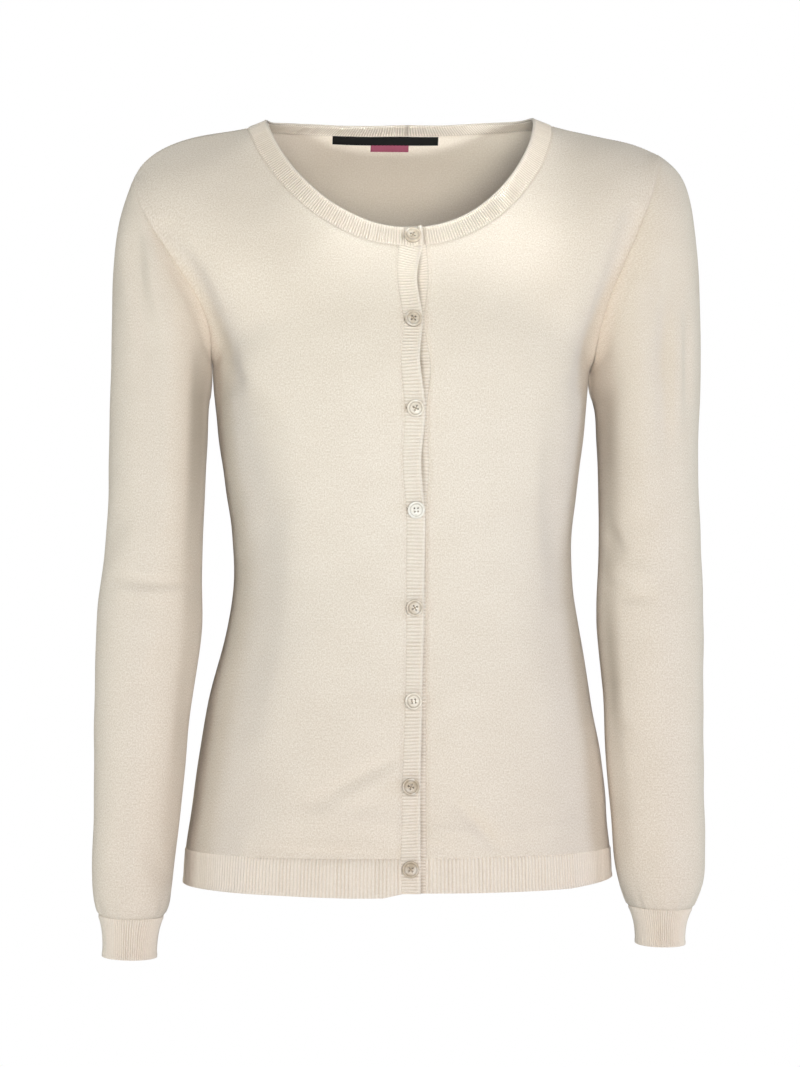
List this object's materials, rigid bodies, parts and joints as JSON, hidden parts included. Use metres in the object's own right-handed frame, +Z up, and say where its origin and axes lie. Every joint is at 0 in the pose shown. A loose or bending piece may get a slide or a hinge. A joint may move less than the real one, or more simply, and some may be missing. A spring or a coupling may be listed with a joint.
{
  "type": "button cardigan",
  "caption": "Fine-knit round-neck cardigan with long sleeves, buttoned front and ribbed bands, filled out as worn with no wearer.",
  "frame": {"origin": "midway between the two high points of the neck, where the shoulders hold the garment up", "axes": "+Z up, -Y out of the garment's front, +X towards the wearer's left arm"},
  "size_m": [0.4593, 0.2408, 0.6306],
  "materials": {
    "jersey": "fine cream cotton jersey, matt, lightly marled",
    "rib": "fine cream one-by-one rib, matt",
    "shell_button": "pearly taupe polyester, polished",
    "label_black": "black woven satin, plain",
    "label_tab": "plain woven tape"
  },
  "bodies": {
    "root": {"front_right": "jersey", "front_left": "jersey", "back": "jersey", "sleeve_right": "jersey", "sleeve_left": "jersey", "neckband": "rib", "buttonhole_band": "rib", "button_band": "rib", "hem_rib_front_right": "rib", "hem_rib_front_left": "rib", "hem_rib_back": "rib", "cuff_right": "rib", "cuff_left": "rib", "button_1": "shell_button", "button_2": "shell_button", "button_3": "shell_button", "button_4": "shell_button", "button_5": "shell_button", "button_6": "shell_button", "button_7": "shell_button", "button_8": "shell_button", "neck_label": "label_black", "size_tab": "label_tab"}
  },
  "joints": []
}
